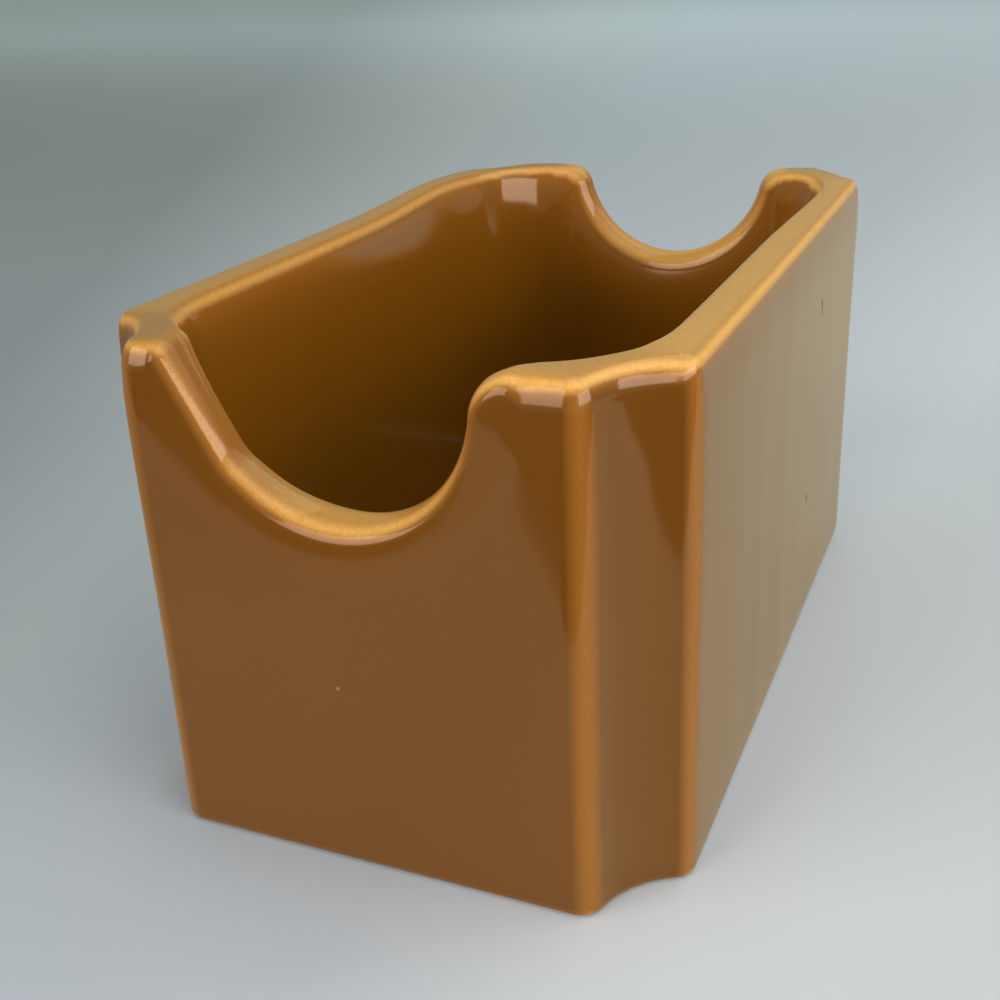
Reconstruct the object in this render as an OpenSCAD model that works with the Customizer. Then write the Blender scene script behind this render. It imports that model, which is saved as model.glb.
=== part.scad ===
// Sugar packet holder in glazed restaurant china: an open oblong box whose two
// end walls are cut down by finger scoops and whose four corners are drawn in
// as shallow upright coves. Units are millimetres, +Z is up, the origin is on
// the table under the middle of the box, and the front end faces -Y.

/* [Overall] */
// Width across the two long side walls
overall_w = 59; // [54:0.5:80]
// Length from end wall to end wall
overall_l = 102; // [80:0.5:140]
// Height of the rim above the table
overall_h = 52; // [40:0.5:70]

/* [Walls] */
// Thickness of the four walls
wall_t = 5.6; // [5:0.1:7]
// Height of the cavity floor above the table
floor_t = 6; // [4:0.1:10]
// Radius where the cavity floor turns up into the walls
floor_bend_r = 3.6; // [1.5:0.1:4.2]
// Radius of the cavity's upright corners, beside each drawn-in cove
cavity_corner_r = 4.5; // [4.4:0.1:7]

/* [Corner coves] */
// Radius of the hollow of each cove
cove_r = 10; // [7:0.1:20]
// Width that a cove takes off the end wall
cove_end_setback = 6.8; // [4:0.1:9]
// Length that a cove takes off the side wall
cove_side_setback = 8.8; // [5:0.1:12]
// Radius of the soft upright ridge on either side of a cove
ridge_r = 2.5; // [2.2:0.1:4]

/* [Finger scoops] */
// Radius of the bottom of both scoops
scoop_r = 13; // [8:0.1:14]
// Depth of the front scoop below the rim
front_scoop_depth = 15.7; // [8:0.1:24]
// Sideways place of the front scoop, which is cut by hand and sits off centre
front_scoop_x = -1.2; // [-1.5:0.1:1.5]
// Radius of the front scoop's left shoulder
front_left_shoulder_r = 5; // [1.5:0.1:8]
// Radius of the front scoop's right shoulder
front_right_shoulder_r = 3; // [1.5:0.1:8]
// Depth of the rear scoop below the rim
rear_scoop_depth = 13; // [8:0.1:24]
// Sideways place of the rear scoop
rear_scoop_x = 1.6; // [-1.8:0.1:1.8]
// Radius of both shoulders of the rear scoop
rear_shoulder_r = 3.5; // [1.5:0.1:8]

/* [Rim and foot] */
// Radius that rounds the rim on each side of its flat top
rim_round_r = 2; // [1:0.1:2.4]
// Radius that rounds the outside of the foot
foot_round_r = 1.5; // [0.8:0.1:3]
// Depth of the recess inside the foot ring
recess_h = 1.2; // [0.8:0.1:2.5]
// Width over which the side of that recess slopes
recess_slope_w = 0.8; // [0.2:0.1:2]

/* [Glaze] */
// Thickness of the glaze
glaze_t = 0.4; // [0.2:0.05:0.6]
// Angle round the foot at which the glaze is wiped off
glaze_stop_angle = 30; // [10:1:40]
// Bare clay left round the glazed patch under the floor
bare_margin = 1; // [0.3:0.1:3]

/* [Hidden] */

CLAY = "#e9e2d2";
CARAMEL = "#a4691f";
DARK_CARAMEL = "#8a5518";

// Steps along the bottom of a scoop, round a shoulder, a ridge and a cove
scoop_steps = 9;
shoulder_steps = 5;
ridge_steps = 4;
cove_steps = 6;
// Steps round the rim, the foot and the bend at the floor
rim_steps = 4;
foot_steps = 3;
bend_steps = 3;

function unit(angle) = [cos(angle), sin(angle)];
function heading(from, to) = atan2(to[1] - from[1], to[0] - from[0]);
function between(a, b, share) = a + (b - a) * share;

// A corner is worked out once, in corner places: [in from the side face, in
// from the end face]. The cove's arc passes through the ends of both setbacks.
setbacks = [cove_end_setback, cove_side_setback];
cove_rise = sqrt(pow(cove_r, 2) - pow(norm(setbacks) / 2, 2));
cove_centre = setbacks / 2 - cove_rise * [setbacks[1], setbacks[0]] / norm(setbacks);

// Centre of the circle of radius r that touches a face lying d deep and the
// arc of radius arc_r round the cove's centre, at the end wall or the side wall
function tangent_run(arc_r, r, d, axis) =
    cove_centre[1 - axis] + sqrt(pow(arc_r + r, 2) - pow(d + r - cove_centre[axis], 2));
function end_centre(arc_r, r, d) = [tangent_run(arc_r, r, d, 1), d + r];
function side_centre(arc_r, r, d) = [d + r, tangent_run(arc_r, r, d, 0)];

// One arc as [point, normal] pairs, at each share of the way round it; side is
// 1 where the arc is convex clay
function arc(centre, r, from, to, at_shares, side) = [
    for (share = at_shares)
        let (angle = between(from, to, share))
        [centre + r * unit(angle), side * unit(angle)]
];
function shares(first, last, steps) = [for (k = [first : last]) k / steps];

// From the end wall round a corner to the side wall
function corner_path(arc_r, r, d, side, start, start_shares) =
    let (
        a = end_centre(arc_r, r, d),
        b = side_centre(arc_r, r, d),
        leave = heading(a, cove_centre),
        meet = heading(b, cove_centre)
    )
    concat(
        arc(a, r, start, leave, start_shares, side),
        arc(cove_centre, arc_r, leave + 180, meet + 180, shares(1, cove_steps - 1, cove_steps), -side),
        arc(b, r, meet, -180, shares(0, ridge_steps, ridge_steps), side)
    );

// The outside: ridge, cove, ridge
ridge_centre = end_centre(cove_r, ridge_r, 0);
outer_corner = corner_path(cove_r, ridge_r, 0, 1, -90, shares(0, ridge_steps, ridge_steps));

// The cavity: the wall keeps its thickness, so each cove bulges inwards
bulge_r = cove_r + wall_t;
hollow_centre = end_centre(bulge_r, cavity_corner_r, wall_t);
hollow_leave = heading(hollow_centre, cove_centre);
hollow_end = hollow_centre[0] + cavity_corner_r * cos(hollow_leave);

// The cavity's edge along an end wall at a place given in from the side face
function cavity_edge(a) =
    a >= hollow_centre[0]
    ? [[a, wall_t], [0, 1]]
    : let (angle = -acos((a - hollow_centre[0]) / cavity_corner_r))
      [hollow_centre + cavity_corner_r * unit(angle), -unit(angle)];
function cavity_start(a) =
    a >= hollow_centre[0] ? -90 : -acos((a - hollow_centre[0]) / cavity_corner_r);
function inner_corner(a) =
    corner_path(
        bulge_r, cavity_corner_r, wall_t, -1, cavity_start(a),
        shares(1, ridge_steps + 1, ridge_steps + 1)
    );

// Half a scoop from its lowest point to the rim, as [sideways, drop, lean, up]:
// an arc, then a shoulder that touches the arc and the rim
function drop_of(depth, shoulder) = max(shoulder - (depth - scoop_r), 0);
function half_width(depth, shoulder) =
    sqrt(pow(scoop_r + shoulder, 2) - pow(drop_of(depth, shoulder), 2));
function half_scoop(depth, shoulder) =
    let (
        tilt = asin(drop_of(depth, shoulder) / (scoop_r + shoulder)),
        reach = half_width(depth, shoulder)
    )
    concat(
        [
            for (share = shares(0, scoop_steps, scoop_steps))
                let (angle = between(0, 90 - tilt, share))
                [scoop_r * sin(angle), depth - scoop_r + scoop_r * cos(angle), -sin(angle), cos(angle)]
        ],
        [
            for (share = shares(1, shoulder_steps, shoulder_steps))
                let (angle = between(tilt, 90, share))
                [reach - shoulder * cos(angle), shoulder * (1 - sin(angle)), -cos(angle), sin(angle)]
        ]
    );

// A shoulder is limited by the flat wall that is left between scoop and ridge
land_limit = max(ridge_centre[0], hollow_end);
function fitted_shoulder(depth, shoulder, offset) =
    let (
        room = overall_w / 2 - land_limit - offset,
        lift = depth - scoop_r,
        widest = (pow(room, 2) - pow(scoop_r, 2) + pow(lift, 2)) / (2 * depth)
    )
    min(shoulder, widest > lift ? widest : room - scoop_r);

// A station is a place along the wall: [outer point, outer normal, inner point,
// inner normal, rim height, lean, up, outer base, inner base, base normal]
function signed(v, sx, sy) = [v[0] * sx, v[1] * sy];
function placed(v, sx, sy) = signed([overall_w / 2 - v[0], overall_l / 2 - v[1]], sx, sy);

function end_station(x, base_x, sy, depth, lean, up) =
    let (
        sx = x < 0 ? -1 : 1,
        base_sx = base_x < 0 ? -1 : 1,
        edge = cavity_edge(overall_w / 2 - abs(x)),
        base_edge = cavity_edge(overall_w / 2 - abs(base_x))
    )
    [
        [x, sy * overall_l / 2], [0, sy],
        placed(edge[0], sx, sy), signed(-edge[1], sx, sy),
        overall_h - depth, lean, up,
        [base_x, sy * overall_l / 2],
        placed(base_edge[0], base_sx, sy), signed(-base_edge[1], base_sx, sy)
    ];

// One end wall from -X to +X
function end_wall(sy, depth, offset, left, right) =
    let (
        left_half = half_scoop(depth, left),
        right_half = half_scoop(depth, right),
        count = len(left_half) - 1,
        from = offset - half_width(depth, left),
        to = offset + half_width(depth, right),
        points = concat(
            [for (k = [count : -1 : 1]) let (p = left_half[k]) [offset - p[0], p[1], -p[2], p[3]]],
            [for (p = right_half) [offset + p[0], p[1], p[2], p[3]]]
        )
    )
    [
        for (k = [0 : 2 * count])
            let (p = points[k])
            end_station(p[0], between(from, to, k / (2 * count)), sy, p[1], p[2], p[3])
    ];

// One corner from the end wall to the side wall, beyond a scoop that ends at x
function corner(sx, sy, x) =
    let (inner = inner_corner(overall_w / 2 - abs(x)))
    [
        for (k = [0 : len(outer_corner) - 1])
            let (
                o = placed(outer_corner[k][0], sx, sy),
                o_normal = signed(-outer_corner[k][1], sx, sy),
                i = placed(inner[k][0], sx, sy),
                i_normal = signed(-inner[k][1], sx, sy)
            )
            [o, o_normal, i, i_normal, overall_h, 0, 1, o, i, i_normal]
    ];
function backwards(list) = [for (k = [len(list) - 1 : -1 : 0]) list[k]];

front_left_r = fitted_shoulder(front_scoop_depth, front_left_shoulder_r, -front_scoop_x);
front_right_r = fitted_shoulder(front_scoop_depth, front_right_shoulder_r, front_scoop_x);
rear_left_r = fitted_shoulder(rear_scoop_depth, rear_shoulder_r, -rear_scoop_x);
rear_right_r = fitted_shoulder(rear_scoop_depth, rear_shoulder_r, rear_scoop_x);
front_wall = end_wall(-1, front_scoop_depth, front_scoop_x, front_left_r, front_right_r);
rear_wall = end_wall(1, rear_scoop_depth, rear_scoop_x, rear_left_r, rear_right_r);
function first_x(wall) = wall[0][0][0];
function last_x(wall) = wall[len(wall) - 1][0][0];

// All the way round, against the clock seen from above
stations = concat(
    front_wall,
    corner(1, -1, last_x(front_wall)),
    backwards(corner(1, 1, last_x(rear_wall))),
    backwards(rear_wall),
    corner(-1, 1, first_x(rear_wall)),
    backwards(corner(-1, -1, first_x(front_wall)))
);

// Rings of points, one per station. The glaze's surface is at g = 0 and the
// clay's lies g = glaze_t under it, round the same centres.
function over_rim(s, point, normal, g, angle) =
    let (
        r = rim_round_r - g,
        xy = point - normal * (rim_round_r - r * cos(angle)),
        sink = rim_round_r - r * sin(angle)
    )
    [xy[0] - s[5] * sink, xy[1], s[4] - s[6] * sink];
function outer_rim_ring(g, angle) = [for (s = stations) over_rim(s, s[0], s[1], g, angle)];
function inner_rim_ring(g, angle) = [for (s = stations) over_rim(s, s[2], s[3], g, angle)];
function level(xy, z) = [xy[0], xy[1], z];
function foot_ring(g, angle) =
    let (r = foot_round_r - g)
    [
        for (s = stations)
            level(s[7] - s[1] * (foot_round_r - r * cos(angle)), foot_round_r - glaze_t - r * sin(angle))
    ];
function floor_ring(g, angle) =
    let (r = floor_bend_r + g)
    [
        for (s = stations)
            level(s[8] + s[9] * (floor_bend_r - r * cos(angle)), floor_t + floor_bend_r - r * sin(angle))
    ];
function recess_ring(inset, z) = [for (s = stations) level(s[8] + s[9] * inset, z)];

// The glazed surface from the wiped line at the foot, over the rim, to the floor
function coat_rings(g) = concat(
    [foot_ring(g, glaze_stop_angle), foot_ring(g, 0)],
    [for (share = shares(0, rim_steps, rim_steps)) outer_rim_ring(g, 90 * share)],
    [for (share = shares(0, rim_steps, rim_steps)) inner_rim_ring(g, 90 * (1 - share))],
    [for (share = shares(0, bend_steps, bend_steps)) floor_ring(g, 90 * share)]
);

// The bare clay from the recess, across the foot ring, to the wiped line
function bare_rings() = concat(
    [recess_ring(recess_slope_w, recess_h), recess_ring(0, 0)],
    [
        for (share = shares(0, foot_steps - 1, foot_steps))
            foot_ring(glaze_t, between(90, glaze_stop_angle, share))
    ]
);

// A closed skin through rings of equal length, with a flat end on each side
module skin(rings) {
    count = len(rings[0]);
    last = (len(rings) - 1) * count;
    sides = [
        for (j = [0 : len(rings) - 2])
            for (i = [0 : count - 1])
                let (a = j * count + i, b = j * count + (i + 1) % count)
                each [[a, b + count, b], [a, a + count, b + count]]
    ];
    ends = [[for (i = [0 : count - 1]) i], [for (i = [count - 1 : -1 : 0]) last + i]];
    polyhedron([for (ring = rings) each ring], concat(sides, ends));
}

// Fired vitreous clay: floor, four walls and the bare foot ring in one casting
module clay_body() {
    color(CLAY) skin(concat(bare_rings(), coat_rings(glaze_t)));
}

// The caramel glaze over the outside, the rim and the cavity
module glaze_coat() {
    color(CARAMEL) skin(concat(backwards(coat_rings(glaze_t)), coat_rings(0)));
}

// The glazed patch inside the foot ring, clear of the table
module underside_glaze() {
    color(DARK_CARAMEL)
        translate([0, 0, recess_h - glaze_t])
            linear_extrude(glaze_t)
                polygon([for (s = stations) s[8] + s[9] * (recess_slope_w + bare_margin)]);
}

clay_body();
glaze_coat();
underside_glaze();
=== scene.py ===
"""Looks of the sugar packet holder, dressed over its packed casting.

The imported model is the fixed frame. The casting and its coat of glaze are drawn
again as fine meshes, from the same sizes as the construction, and the glazed patch
under the floor stays as it is packed. All three take procedural finishes. Lengths
are in metres, and +Z is up.
"""

import logging
import math
from dataclasses import dataclass, field
from enum import Enum
from typing import Callable

import bpy
import numpy as np
from mathutils import Euler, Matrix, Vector, noise

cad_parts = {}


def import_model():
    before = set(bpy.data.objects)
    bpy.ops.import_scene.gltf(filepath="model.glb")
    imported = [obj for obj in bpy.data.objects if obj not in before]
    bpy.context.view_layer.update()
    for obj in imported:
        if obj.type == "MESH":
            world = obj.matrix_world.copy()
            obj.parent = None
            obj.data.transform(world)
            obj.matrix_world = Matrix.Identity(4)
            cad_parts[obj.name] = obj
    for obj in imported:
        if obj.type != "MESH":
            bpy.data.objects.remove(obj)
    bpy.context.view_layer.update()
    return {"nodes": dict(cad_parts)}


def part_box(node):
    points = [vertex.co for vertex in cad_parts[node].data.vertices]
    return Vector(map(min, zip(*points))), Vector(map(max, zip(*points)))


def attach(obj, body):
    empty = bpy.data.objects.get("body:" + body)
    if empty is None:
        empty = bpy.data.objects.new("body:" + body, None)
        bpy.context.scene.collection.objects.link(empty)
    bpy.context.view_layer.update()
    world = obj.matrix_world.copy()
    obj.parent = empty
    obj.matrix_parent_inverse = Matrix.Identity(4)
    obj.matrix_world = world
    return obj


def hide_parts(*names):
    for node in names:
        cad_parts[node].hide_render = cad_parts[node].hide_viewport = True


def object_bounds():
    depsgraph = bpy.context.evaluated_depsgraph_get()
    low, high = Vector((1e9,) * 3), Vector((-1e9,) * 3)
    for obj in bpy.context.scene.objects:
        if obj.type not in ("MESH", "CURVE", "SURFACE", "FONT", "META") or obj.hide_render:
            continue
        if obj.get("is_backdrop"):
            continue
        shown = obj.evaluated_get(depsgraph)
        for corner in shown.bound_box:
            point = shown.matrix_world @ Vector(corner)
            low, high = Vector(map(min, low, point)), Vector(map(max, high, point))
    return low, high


Pair = tuple[float, float]
Triple = tuple[float, float, float]
Colour = Triple

LOG = logging.getLogger("packet_holder")
MM = 0.001
ROOT = "root"

# Square of a length that is as good as none
TINY = 1e-18

# Names of the attributes that the meshes carry for the finishes; the pooled one also carries
# painted fill light in the cavity, and the thin one painted light on the right of the rim
THIN_AND_RIGHT_LIGHT = "glaze_thin_and_right_light"
POOLED_AND_FILL_LIGHT = "glaze_pooled_and_fill_light"


def linked(name: str, data: bpy.types.ID) -> bpy.types.Object:
    """Makes a new object in the scene.

    Args:
        name: Its name.
        data: Its mesh, lamp or camera.

    Returns:
        The object.
    """
    made = bpy.data.objects.new(name, data)
    bpy.context.scene.collection.objects.link(made)
    return made


class End(Enum):
    """The two end walls, by the way they face along Y."""

    FRONT = -1
    REAR = 1


def unit(angle: float) -> np.ndarray:
    """The unit vector at an angle in radians."""
    return np.array([math.cos(angle), math.sin(angle)])


def heading(start: np.ndarray, end: np.ndarray) -> float:
    """The angle of the line from start to end."""
    return math.atan2(end[1] - start[1], end[0] - start[0])


def smooth(value: np.ndarray) -> np.ndarray:
    """A value clamped to 0 to 1 and eased at both ends."""
    clamped = np.clip(value, 0, 1)
    return clamped * clamped * (3 - 2 * clamped)


@dataclass(frozen=True)
class Knee:
    """A corner that the knife left in one side of a scoop.

    The scoop's arc ends at an angle, a straight cut leads on to the knee, and a
    steeper one from there to the shoulder.
    """

    arc_end: float
    cut: float
    flank: float
    radius: float = 5 * MM


@dataclass(frozen=True)
class Scoop:
    """A finger scoop cut down into one end wall.

    Its bottom is an arc, and a shoulder on either side leads from it to the rim. On
    the left there may be a knee between them.
    """

    depth: float
    offset: float
    left_shoulder: float
    right_shoulder: float
    left_knee: Knee | None = None
    radius: float = 13 * MM
    arc_steps: int = 26
    shoulder_steps: int = 12
    cut_steps: int = 6

    def stretches(self, shoulder: float, knee: Knee | None) -> list[tuple[float, float, int]]:
        """What half the outline is made of, from its lowest point to the rim.

        Args:
            shoulder: Radius of the shoulder on that side.
            knee: The knee on that side, where it has one.

        Returns:
            Length, turn and number of steps of each stretch.
        """
        if knee is None:
            steep = math.acos(1 - self.depth / (self.radius + shoulder))
            arc = (self.radius * steep, steep, self.arc_steps)
            return [arc, (shoulder * steep, -steep, self.shoulder_steps)]
        bend = knee.flank - knee.arc_end
        low, high = math.cos(knee.arc_end), math.cos(knee.flank)
        curved = self.radius * (1 - low) + knee.radius * (low - high) + shoulder * (1 - high)
        left = self.depth - curved - knee.cut * math.sin(knee.arc_end)
        return [
            (self.radius * knee.arc_end, knee.arc_end, self.arc_steps),
            (knee.cut, 0.0, self.cut_steps),
            (knee.radius * bend, bend, self.cut_steps),
            (left / math.sin(knee.flank), 0.0, self.arc_steps),
            (shoulder * knee.flank, -knee.flank, self.shoulder_steps),
        ]

    def half(self, shoulder: float, knee: Knee | None) -> np.ndarray:
        """Half the outline, from its lowest point to the rim.

        Args:
            shoulder: Radius of the shoulder on that side.
            knee: The knee on that side, where it has one.

        Returns:
            Rows of sideways place, drop below the rim, and the outline's normal.
        """
        place, drop, angle = 0.0, self.depth, 0.0
        rows = [[place, drop, 0.0, 1.0]]
        for length, turn, steps in self.stretches(shoulder, knee):
            bend = turn / steps
            step = length / steps * np.sinc(bend / math.tau)
            for _ in range(steps):
                place += step * math.cos(angle + bend / 2)
                drop -= step * math.sin(angle + bend / 2)
                angle += bend
                rows.append([place, drop, -math.sin(angle), math.cos(angle)])
        return np.array(rows)

    def outline(self) -> np.ndarray:
        """The whole outline of the cut.

        Returns:
            The rows of both halves from -X to +X, sideways places in the holder's frame.
        """
        left = self.half(self.left_shoulder, self.left_knee)
        right = self.half(self.right_shoulder, None)
        rows = np.vstack([left[:0:-1] * [-1, 1, -1, 1], right])
        rows[:, 0] += self.offset
        return rows


@dataclass(frozen=True)
class CornerPlan:
    """Plan of one drawn-in corner, as places in from the side face and from the end face."""

    wall: float
    cove_radius: float = 10 * MM
    end_setback: float = 6.8 * MM
    side_setback: float = 8.8 * MM
    ridge_radius: float = 2.5 * MM
    cavity_radius: float = 4.5 * MM
    land_steps: int = 8
    ridge_steps: int = 10
    cove_steps: int = 20

    @property
    def centre(self) -> np.ndarray:
        """Centre of the cove's arc.

        Returns:
            The centre, set so that the arc passes through the ends of both setbacks.
        """
        setbacks = np.array([self.end_setback, self.side_setback])
        span = np.linalg.norm(setbacks)
        rise = math.sqrt(self.cove_radius**2 - (span / 2) ** 2)
        return setbacks / 2 - rise * setbacks[::-1] / span

    def touching(self, arc_radius: float, radius: float, depth: float) -> list[np.ndarray]:
        """Centres of the circles that touch the cove's arc and a face.

        Args:
            arc_radius: Radius of the arc round the cove's centre.
            radius: Radius of the touching circles.
            depth: How far the face lies in from the outside.

        Returns:
            The centres beside the end wall and beside the side wall.
        """
        centre, away, deep = self.centre, arc_radius + radius, depth + radius
        along = centre[0] + math.sqrt(away**2 - (deep - centre[1]) ** 2)
        up = centre[1] + math.sqrt(away**2 - (deep - centre[0]) ** 2)
        return [np.array([along, deep]), np.array([deep, up])]

    def path(
        self, arc_radius: float, radius: float, depth: float, side: int, start: float,
        first: np.ndarray,
    ) -> tuple[np.ndarray, np.ndarray]:
        """The line from the end wall round the corner to the side wall.

        Args:
            arc_radius: Radius of the arc round the cove's centre.
            radius: Radius of the arcs on either side of it.
            depth: How far the line lies in from the outside.
            side: 1 where those arcs are convex clay, -1 where they are hollow.
            start: Angle at which the first arc starts.
            first: Shares of the first arc that get a point.

        Returns:
            The points and their normals out of the clay.
        """
        by_end, by_side = self.touching(arc_radius, radius, depth)
        leave, meet = heading(by_end, self.centre), heading(by_side, self.centre)
        steps = np.linspace(0, 1, self.cove_steps + 1)[1:-1]
        ridge = np.linspace(0, 1, self.ridge_steps + 1)
        stretches = [
            (by_end, radius, start, leave, first, side),
            (self.centre, arc_radius, leave + math.pi, meet + math.pi, steps, -side),
            (by_side, radius, meet, -math.pi, ridge, side),
        ]
        points, normals = [], []
        for centre, r, a, b, shares, sign in stretches:
            for share in shares:
                way = unit(a + (b - a) * share)
                points.append(centre + r * way)
                normals.append(sign * way)
        return np.array(points), np.array(normals)

    @property
    def hollow(self) -> np.ndarray:
        """Centre of the cavity's first corner arc, beside the end wall."""
        return self.touching(self.cove_radius + self.wall, self.cavity_radius, self.wall)[0]

    def cavity_angle(self, place: float) -> float:
        """Angle on that arc at a place in from the side face."""
        run = min((place - self.hollow[0]) / self.cavity_radius, 0)
        return -math.acos(max(run, -1))

    def cavity_edge(self, place: float) -> tuple[np.ndarray, np.ndarray]:
        """The cavity's edge beside an end wall.

        Args:
            place: How far in from the side face.

        Returns:
            The point there and its normal.
        """
        if place >= self.hollow[0]:
            return np.array([place, self.wall]), np.array([0.0, 1.0])
        way = unit(self.cavity_angle(place))
        return self.hollow + self.cavity_radius * way, -way

    def outside(self, scoop_place: float) -> tuple[np.ndarray, np.ndarray]:
        """The outer line from where a scoop ends, along the end wall and round the corner.

        Args:
            scoop_place: Where the scoop ends, in from the side face.

        Returns:
            The points and their normals out of the clay.
        """
        ridge = np.linspace(0, 1, self.ridge_steps + 1)
        arcs = (self.cove_radius, self.ridge_radius, 0.0, 1, -math.pi / 2, ridge)
        points, normals = self.path(*arcs)
        places = np.linspace(scoop_place, points[0][0], self.land_steps + 1)[1:-1]
        land = np.column_stack([places, np.zeros_like(places)])
        flat = np.tile(normals[0], (len(places), 1))
        return np.vstack([land, points]), np.vstack([flat, normals])

    def inside(self, scoop_place: float) -> tuple[np.ndarray, np.ndarray]:
        """The cavity's line beside that outer one, point for point.

        Args:
            scoop_place: Where the scoop ends, in from the side face.

        Returns:
            The points and their normals out of the clay.
        """
        count = self.land_steps - 1 + self.ridge_steps + 1
        first = np.linspace(0, 1, count + 1)[1:]
        start = self.cavity_angle(scoop_place)
        return self.path(
            self.cove_radius + self.wall, self.cavity_radius, self.wall, -1, start, first
        )


@dataclass
class Stations:
    """Places along the wall, against the clock seen from above, one row each."""

    outer: np.ndarray
    outer_normal: np.ndarray
    inner: np.ndarray
    inner_normal: np.ndarray
    rim: np.ndarray
    tilt: np.ndarray
    outer_base: np.ndarray
    inner_base: np.ndarray
    base_normal: np.ndarray
    ridge: np.ndarray
    scoop: np.ndarray

    def columns(self) -> list[np.ndarray]:
        """Every column of the table, in the order of the fields."""
        return [getattr(self, name) for name in self.__dataclass_fields__]

    def reversed(self) -> "Stations":
        """The same places in the other order."""
        return Stations(*[column[::-1] for column in self.columns()])

    @staticmethod
    def joined(parts: list["Stations"]) -> "Stations":
        """Several runs of places, one after another."""
        return Stations(*[np.concatenate(c) for c in zip(*[p.columns() for p in parts])])

    def between(self, other: "Stations", steps: int) -> "Stations":
        """Places on the flat between this run's last and another run's first.

        Args:
            other: The run that comes next.
            steps: How many steps the gap is cut into.

        Returns:
            The places, without the two that they lie between.
        """
        shares = np.linspace(0, 1, steps + 1)[1:-1]
        made = []
        for a, b in zip(self.columns(), other.columns()):
            last, first = a[-1], b[0]
            made.append(np.array([last + (first - last) * share for share in shares]))
        return Stations(*made)


@dataclass(frozen=True)
class RimProfile:
    """Rounding of the rim on one side of its top, a quarter of an ellipse.

    The face below it eases in a little before it, as a sponged edge does. The sizes
    that change along the wall hold one number per station.
    """

    down: np.ndarray
    across: np.ndarray
    ease_angle: np.ndarray
    ease_height: np.ndarray

    @property
    def ease_width(self) -> np.ndarray:
        """How far the face has eased in where the rounding begins."""
        return self.ease_height * np.tan(self.ease_angle) / 2

    def angle(self, share: float) -> np.ndarray:
        """The ellipse's angle at a share of the way from the face to the top."""
        first = np.arctan(self.down / self.across * np.tan(self.ease_angle))
        return first + (math.pi / 2 - first) * share

    def inset(self, share: float, under: float) -> np.ndarray:
        """Place in from the face, for a skin that lies under the glaze."""
        first = self.across * np.cos(self.angle(0))
        return self.ease_width + first - (self.across - under) * np.cos(self.angle(share))

    def sink(self, share: float, under: float) -> np.ndarray:
        """Place below the rim."""
        return self.down - (self.down - under) * np.sin(self.angle(share))

    def eased(self, distance: np.ndarray) -> np.ndarray:
        """How far the face has eased in at a distance from the rounding."""
        return self.ease_width * np.clip(1 - distance / self.ease_height, 0, 1) ** 2


@dataclass(frozen=True)
class RimBreak:
    """How thin the glaze is round the rim, with one number per station.

    It is thinnest at the crest, an angle of the rounding, and stays thin on the top.
    """

    crest: np.ndarray
    spread: np.ndarray
    top: np.ndarray
    most: np.ndarray

    def at(self, angle: np.ndarray) -> np.ndarray:
        """How thin the glaze is part of the way round.

        Args:
            angle: The rounding's angle, one per station.

        Returns:
            How thin it is, one number per station.
        """
        hump = np.exp(-(((angle - self.crest) / self.spread) ** 2))
        rest = self.top * smooth((angle - self.crest) / (math.pi / 2 - self.crest))
        return rest + (self.most - rest) * hump


@dataclass(frozen=True)
class Swell:
    """A stretch where the rim stands a little high and out, round a place seen from above."""

    place: Pair
    span: float
    rise: float
    out: float = 0.0


@dataclass(frozen=True)
class GlazeBreak:
    """How the glaze draws back from edges and gathers in hollows, as shares of its full change.

    The four rows for the rim give the crest's angle, its spread and how thin the top is.
    """

    ridge_share: float = 0.4
    foot_share: float = 0.35
    on_land: Triple = (math.radians(58), math.radians(18), 0.34)
    on_side: Triple = (math.radians(43), math.radians(24), 0.5)
    on_front_scoop: Triple = (math.radians(48), math.radians(25), 0.42)
    on_rear_scoop: Triple = (math.radians(46), math.radians(31), 0.66)
    # Painted light: the rim is drawn thinner and lighter towards the right, as if lit from that
    # side; the crest is thinnest there too
    right_painted_light: float = 0.26
    right_light_span: float = 40 * MM
    least_crest: float = 0.76
    blend: float = 1.5 * MM
    # The pooled share also sets painted fill light in the cavity, lighter and redder than the
    # body
    rim_pool_share: float = 0.4
    pool_rate: float = 3.0
    wall_pool_share: float = 0.5
    fade: float = 1.0 * MM
    cavity_share: float = 0.3
    cavity_fade: float = 2.5 * MM
    steep_share: float = 0.5

    def rim_break(self, stations: Stations, on_side: np.ndarray) -> RimBreak:
        """Sets how the glaze breaks round the rim.

        Args:
            stations: The places along the wall.
            on_side: 1 at the stations of the long walls, 0 at the end walls.

        Returns:
            The break, with painted light on the right, where the rim is drawn thinner and lighter
            as if lit from that side.
        """
        x, y = stations.outer[:, 0], stations.outer[:, 1]
        rows = np.outer(1 - on_side, self.on_land) + np.outer(on_side, self.on_side)
        scoops = np.where(y[:, None] < 0, self.on_front_scoop, self.on_rear_scoop)
        rows += (scoops - rows) * stations.scoop[:, None]
        rows = near_weights(stations.outer, self.blend) @ rows
        # Painted light, growing towards the right of the rim
        right = smooth(x / self.right_light_span + 0.5)
        level = self.steep_share + (1 - self.steep_share) * smooth(stations.tilt[:, 1])
        top = (rows[:, 2] + self.right_painted_light * right) * level
        most = (self.least_crest + (1 - self.least_crest) * right) * level
        return RimBreak(rows[:, 0], rows[:, 1], top, most)

    def in_cavity(self, depth: np.ndarray) -> np.ndarray:
        """How far it has gathered, with painted fill light, at a depth, which is 0 at the rim and
        1 at the floor.
        """
        return self.rim_pool_share + (1 - self.rim_pool_share) * smooth(self.pool_rate * depth)

    def in_bend(self, angle: float) -> float:
        """How far it has gathered, with painted fill light, round the bend between wall and
        floor.
        """
        return self.wall_pool_share + (1 - self.wall_pool_share) * math.sin(2 * angle)


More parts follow.
